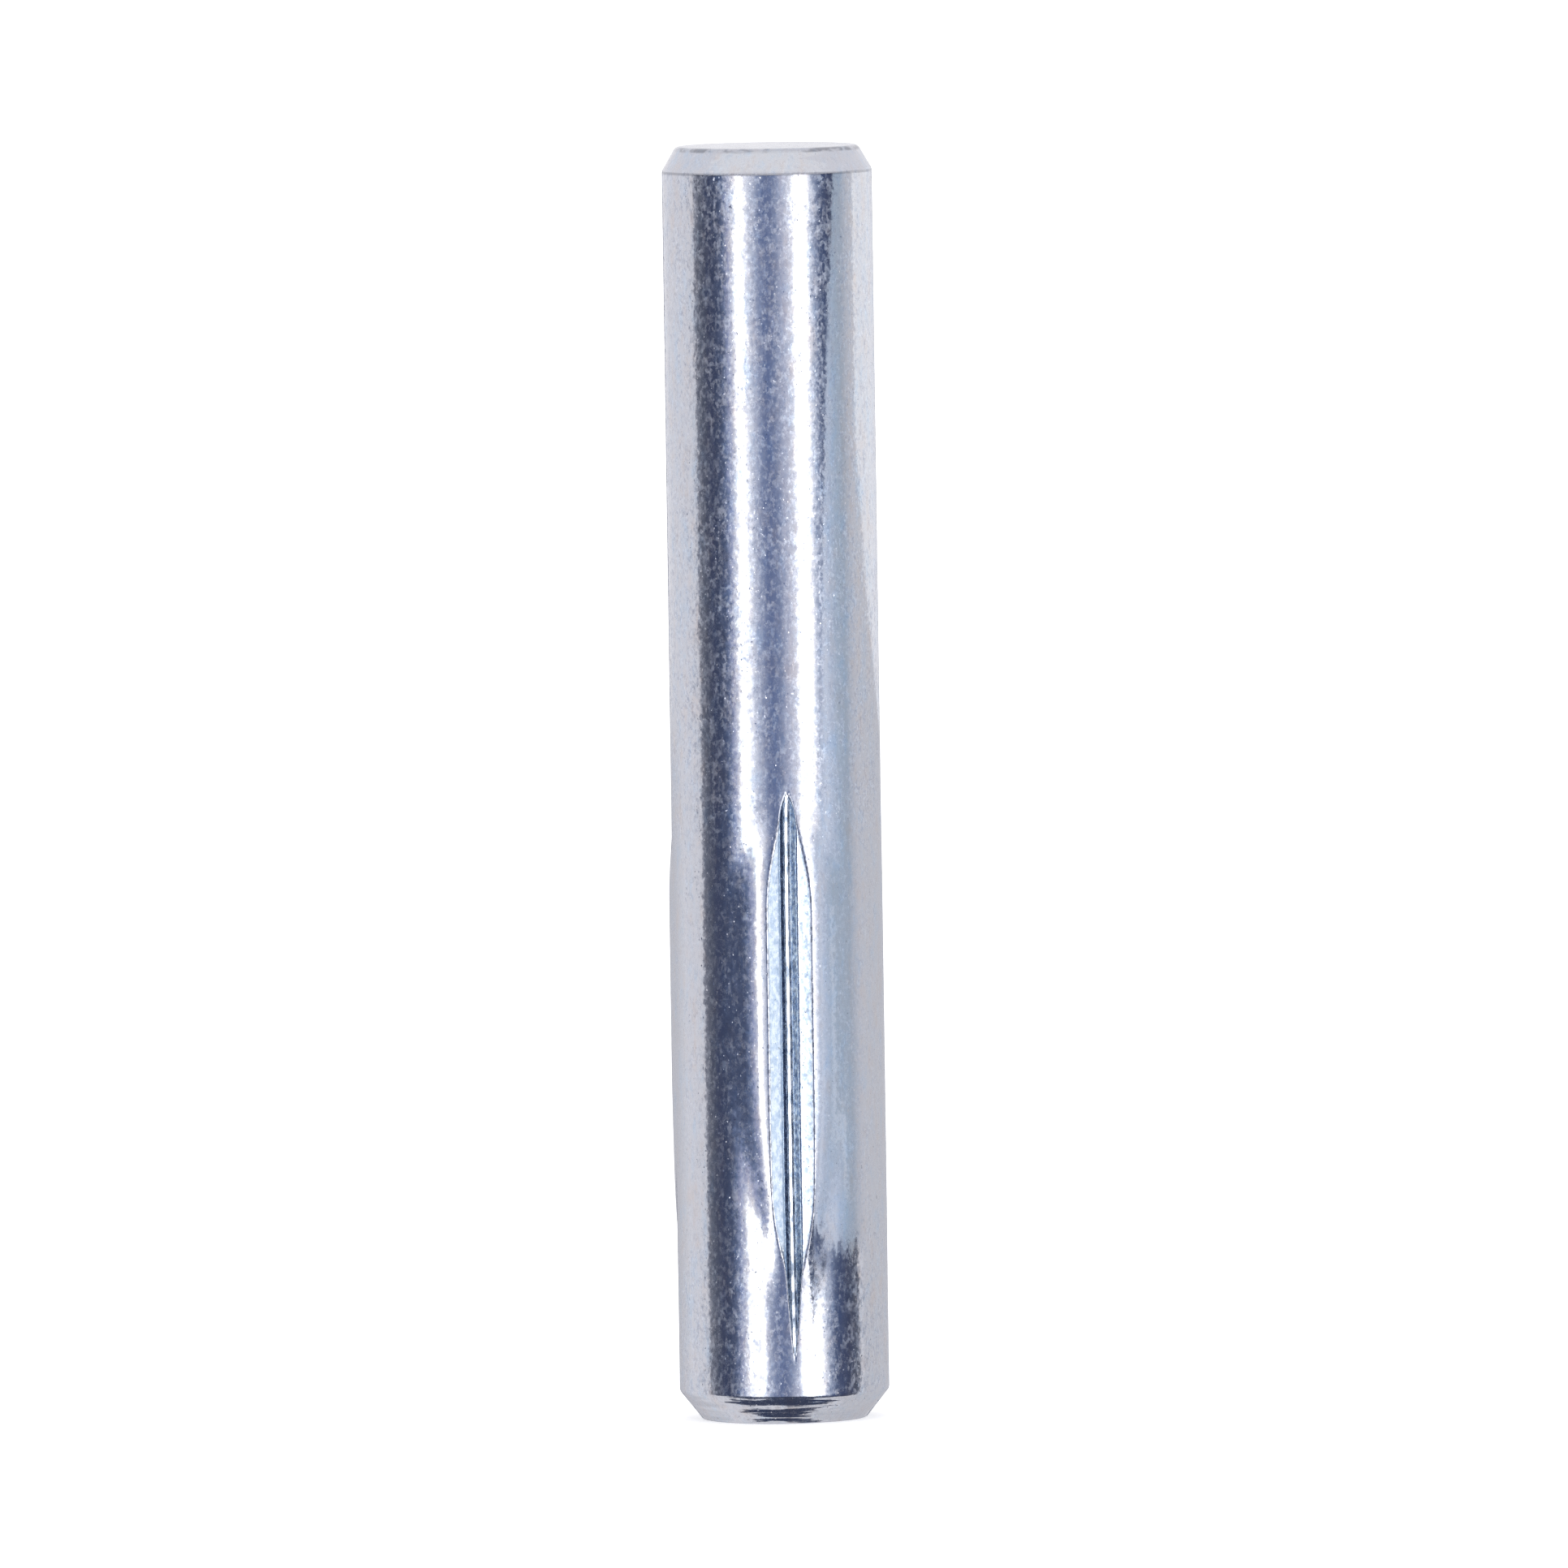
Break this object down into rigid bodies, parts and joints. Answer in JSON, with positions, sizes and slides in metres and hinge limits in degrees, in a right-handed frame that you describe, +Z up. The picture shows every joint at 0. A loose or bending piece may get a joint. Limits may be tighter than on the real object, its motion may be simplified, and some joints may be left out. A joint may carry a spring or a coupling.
{
  "type": "grooved pin",
  "caption": "Solid straight pin with lengthwise grooves pressed into its lower half, raised shoulders beside each groove, and chamfered flat ends, for pressing into a plain drilled hole.",
  "frame": {"origin": "centre of the bottom end face, on the pin's axis", "axes": "+Z up along the axis from the grooved half to the plain half; -Y towards the middle of one groove"},
  "size_m": [0.0102, 0.0101, 0.0605],
  "materials": {
    "zinc_plated_steel": "bright bluish zinc plating"
  },
  "bodies": {
    "root": {"grooved_pin": "zinc_plated_steel"}
  },
  "joints": []
}
